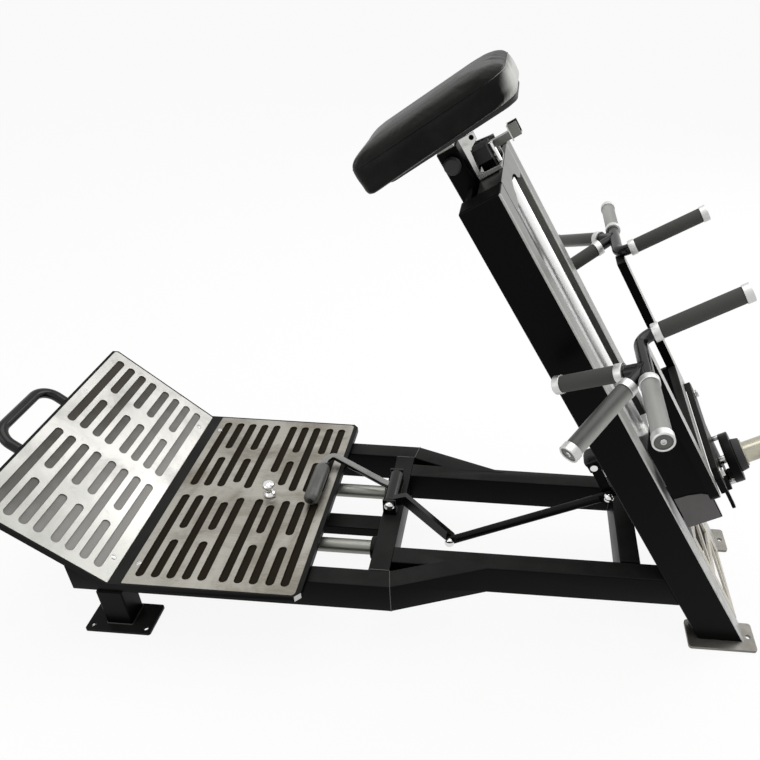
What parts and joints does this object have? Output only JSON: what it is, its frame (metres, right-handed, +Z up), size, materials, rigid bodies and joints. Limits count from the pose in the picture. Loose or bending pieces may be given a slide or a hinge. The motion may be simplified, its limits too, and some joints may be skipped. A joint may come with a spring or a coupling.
{
  "type": "plate-loaded row machine",
  "caption": "Plate-loaded row machine: leaning mast, carriage with angled grips and a loading sleeve, chest pad, sliding slotted foot platform with a release pedal.",
  "frame": {"origin": "middle of the outer box, on the floor, in the machine's middle plane", "axes": "+X towards the foot of the mast, +Y to the far side of the picture, +Z up"},
  "size_m": [1.9504, 1.0108, 1.2808],
  "materials": {
    "frame_black": "satin black powder coat",
    "satin_steel": "satin stainless steel",
    "chrome": "bright chrome",
    "aluminium": "matte machined",
    "zinc": "zinc plated steel",
    "grip_rubber": "dark grey, matte",
    "black_rubber": "matte",
    "black_plastic": "moulded, satin",
    "pad_vinyl": "charcoal vinyl"
  },
  "bodies": {
    "frame": {"side_rail_near": "frame_black", "side_rail_far": "frame_black", "front_cross_tube": "frame_black", "rear_cross_tube": "frame_black", "mast_cross_tube": "frame_black", "rear_leg_near": "frame_black", "rear_leg_far": "frame_black", "mast_post_near": "frame_black", "mast_post_far": "frame_black", "mast_lattice_plate": "frame_black", "mast_top_plate": "frame_black", "guide_rod": "chrome", "stop_ring": "black_rubber", "mast_top_bracket": "zinc", "top_rubber_block": "black_rubber", "slide_rod_near": "chrome", "slide_rod_far": "chrome", "lock_beam": "frame_black", "chest_post_sleeve": "frame_black", "pedal_bracket": "frame_black", "pedal_axle": "chrome", "latch_bracket": "frame_black", "latch_axle": "chrome"},
    "platform": {"platform_base": "frame_black", "flat_slotted_plate": "satin_steel", "raised_slotted_plate": "satin_steel", "pull_handle": "frame_black", "slide_bearing_near": "aluminium", "slide_bearing_far": "aluminium", "pin_barrel": "chrome"},
    "platform_pin": {"platform_pin": "chrome"},
    "carriage": {"carriage_frame": "frame_black", "carriage_bearing": "aluminium", "horn_plate": "frame_black", "horn_flange": "frame_black", "horn_bumper": "black_rubber", "loading_sleeve": "chrome", "sleeve_end_cap": "black_plastic", "horn_lower_knob": "black_plastic", "hanger_bar": "frame_black", "handle_bar_near": "frame_black", "handle_bar_far": "frame_black", "front_grip_near": "grip_rubber", "front_grip_far": "grip_rubber", "side_grip_near": "grip_rubber", "side_grip_far": "grip_rubber", "inner_grip_near": "grip_rubber", "inner_grip_far": "grip_rubber", "outer_grip_near": "grip_rubber", "outer_grip_far": "grip_rubber"},
    "chest": {"chest_post": "satin_steel", "chest_board": "black_plastic", "chest_pad": "pad_vinyl"},
    "chest_pin": {"chest_pin": "black_plastic"},
    "pedal": {"pedal_lever": "frame_black"},
    "pedal_roller": {"pedal_roller": "grip_rubber"},
    "push_rod": {"push_rod": "frame_black"},
    "latch": {"latch_lever": "frame_black", "latch_roller": "black_rubber"}
  },
  "joints": [
    {"name": "platform_slide", "type": "slide", "parent": "frame", "child": "platform", "axis": [1, 0, 0], "range_m": [-0.1, 0.04]},
    {"name": "platform_pin_lift", "type": "slide", "parent": "platform", "child": "platform_pin", "axis": [0, 0, 1], "range_m": [0, 0.02], "stiffness_N_per_m": 400, "springref_m": -0.015},
    {"name": "carriage_slide", "type": "slide", "parent": "frame", "child": "carriage", "axis": [-0.5124, 0, 0.8587], "range_m": [0, 0.55]},
    {"name": "chest_slide", "type": "slide", "parent": "frame", "child": "chest", "axis": [-0.5124, 0, 0.8587], "range_m": [0, 0.1]},
    {"name": "chest_pin_pull", "type": "slide", "parent": "frame", "child": "chest_pin", "axis": [0, -1, 0], "range_m": [0, 0.012], "stiffness_N_per_m": 600, "springref_m": -0.01},
    {"name": "pedal_tilt", "type": "hinge", "parent": "frame", "child": "pedal", "pos_m": [-0.08008, 0, 0.235], "axis": [0, 1, 0], "range_deg": [0, 8], "stiffness_Nm_per_rad": 20, "springref_deg": -17.19},
    {"name": "roller_spin", "type": "hinge", "parent": "pedal", "child": "pedal_roller", "pos_m": [-0.27808, 0, 0.2435], "axis": [0, 1, 0], "continuous": true},
    {"name": "push_rod_swing", "type": "hinge", "parent": "pedal", "child": "push_rod", "pos_m": [0.07292, 0, 0.126], "axis": [0, 1, 0], "range_deg": [-10, 0]},
    {"name": "latch_swing", "type": "hinge", "parent": "frame", "child": "latch", "pos_m": [0.41332, 0, 0.40144], "axis": [0, 1, 0], "range_deg": [0, 15]}
  ],
  "couplings": [
    {"joint": "push_rod_swing", "follows": "pedal_tilt", "ratio": -1.216},
    {"joint": "latch_swing", "follows": "pedal_tilt", "ratio": 1.752}
  ]
}
